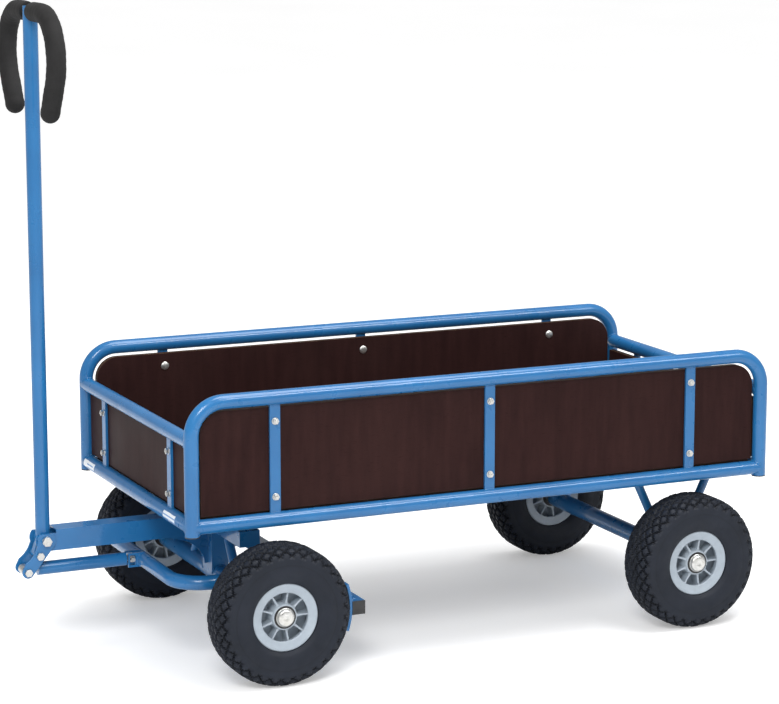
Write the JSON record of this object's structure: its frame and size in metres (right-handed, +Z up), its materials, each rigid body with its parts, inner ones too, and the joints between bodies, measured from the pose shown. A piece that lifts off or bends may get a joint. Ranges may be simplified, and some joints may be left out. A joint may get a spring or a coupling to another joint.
{
  "type": "platform trolley",
  "caption": "Pneumatic-tyred platform trolley: tube frame box with panel sides, turntable steering, upright drawbar with two-arm handle and drawbar-operated tyre brake.",
  "frame": {"origin": "on the floor, below the middle of the bounding box of the whole trolley", "axes": "+X towards the drawbar end, +Y to the left side, +Z up"},
  "size_m": [1.4244, 0.725, 1.219],
  "materials": {
    "frame_paint": "gloss blue powder coat",
    "plywood": "film-faced plywood, dark brown, satin",
    "zinc": "zinc plated",
    "tyre": "matte black tread rubber",
    "rim": "light grey plastic",
    "grip_foam": "matte black foam",
    "black_plastic": "satin black",
    "bearing": "dark sealed bearing",
    "label": "blank white film"
  },
  "bodies": {
    "box": {"side_frame_left": "frame_paint", "side_frame_right": "frame_paint", "front_end_frame": "frame_paint", "rear_end_frame": "frame_paint", "floor_bearers": "frame_paint", "side_panel_left": "plywood", "side_panel_right": "plywood", "front_panel": "plywood", "rear_panel": "plywood", "floor_board": "plywood", "panel_bolts": "zinc", "panel_nuts": "zinc", "floor_screws": "zinc", "leg_caps": "black_plastic", "label_plates": "label", "rear_axle_frame": "frame_paint", "rear_spindles": "zinc", "rear_axle_caps": "zinc", "turntable_upper": "frame_paint", "turntable_bolts": "zinc"},
    "steering": {"turntable_lower": "frame_paint", "turntable_balls": "zinc", "steering_frame": "frame_paint", "steering_bolts": "zinc", "front_spindles": "zinc", "front_axle_caps": "zinc", "pivot_bolt": "zinc", "pivot_nut": "zinc"},
    "drawbar": {"drawbar_tube": "frame_paint", "drawbar_foot": "frame_paint", "crank_plates": "frame_paint", "crank_clamp_bolt": "zinc", "crank_pin": "zinc", "handle_tube": "black_plastic", "handle_grips": "grip_foam"},
    "link": {"link_tube": "frame_paint", "link_front_eye": "zinc", "link_rear_eye": "zinc", "link_rear_pin": "zinc"},
    "brake": {"brake_bow": "frame_paint", "brake_bar": "frame_paint", "brake_shoes": "frame_paint", "brake_bar_caps": "black_plastic"},
    "wheel_front_left": {"tyre_front_left": "tyre", "rim_front_left": "rim", "bearings_front_left": "bearing"},
    "wheel_front_right": {"tyre_front_right": "tyre", "rim_front_right": "rim", "bearings_front_right": "bearing"},
    "wheel_rear_left": {"tyre_rear_left": "tyre", "rim_rear_left": "rim", "bearings_rear_left": "bearing"},
    "wheel_rear_right": {"tyre_rear_right": "tyre", "rim_rear_right": "rim", "bearings_rear_right": "bearing"}
  },
  "joints": [
    {"name": "steering_turn", "type": "hinge", "parent": "box", "child": "steering", "pos_m": [0.32425, 0, 0.265], "axis": [0, 0, 1], "range_deg": [-50, 50]},
    {"name": "drawbar_tilt", "type": "hinge", "parent": "steering", "child": "drawbar", "pos_m": [0.66525, 0, 0.23], "axis": [0, 1, 0], "range_deg": [0, 55]},
    {"name": "link_swing", "type": "hinge", "parent": "drawbar", "child": "link", "pos_m": [0.70125, 0, 0.174], "axis": [0, 1, 0], "range_deg": [-53, 0]},
    {"name": "brake_slide", "type": "slide", "parent": "steering", "child": "brake", "axis": [1, 0, 0], "range_m": [-0.061, 0]},
    {"name": "spin_front_left", "type": "hinge", "parent": "steering", "child": "wheel_front_left", "pos_m": [0.32425, 0.32, 0.13], "axis": [0, 1, 0], "continuous": true},
    {"name": "spin_front_right", "type": "hinge", "parent": "steering", "child": "wheel_front_right", "pos_m": [0.32425, -0.32, 0.13], "axis": [0, 1, 0], "continuous": true},
    {"name": "spin_rear_left", "type": "hinge", "parent": "box", "child": "wheel_rear_left", "pos_m": [-0.54375, 0.3, 0.13], "axis": [0, 1, 0], "continuous": true},
    {"name": "spin_rear_right", "type": "hinge", "parent": "box", "child": "wheel_rear_right", "pos_m": [-0.54375, -0.3, 0.13], "axis": [0, 1, 0], "continuous": true}
  ],
  "couplings": [
    {"joint": "link_swing", "follows": "drawbar_tilt", "ratio": -0.955},
    {"joint": "brake_slide", "follows": "drawbar_tilt", "m_per_rad": -0.0627}
  ]
}
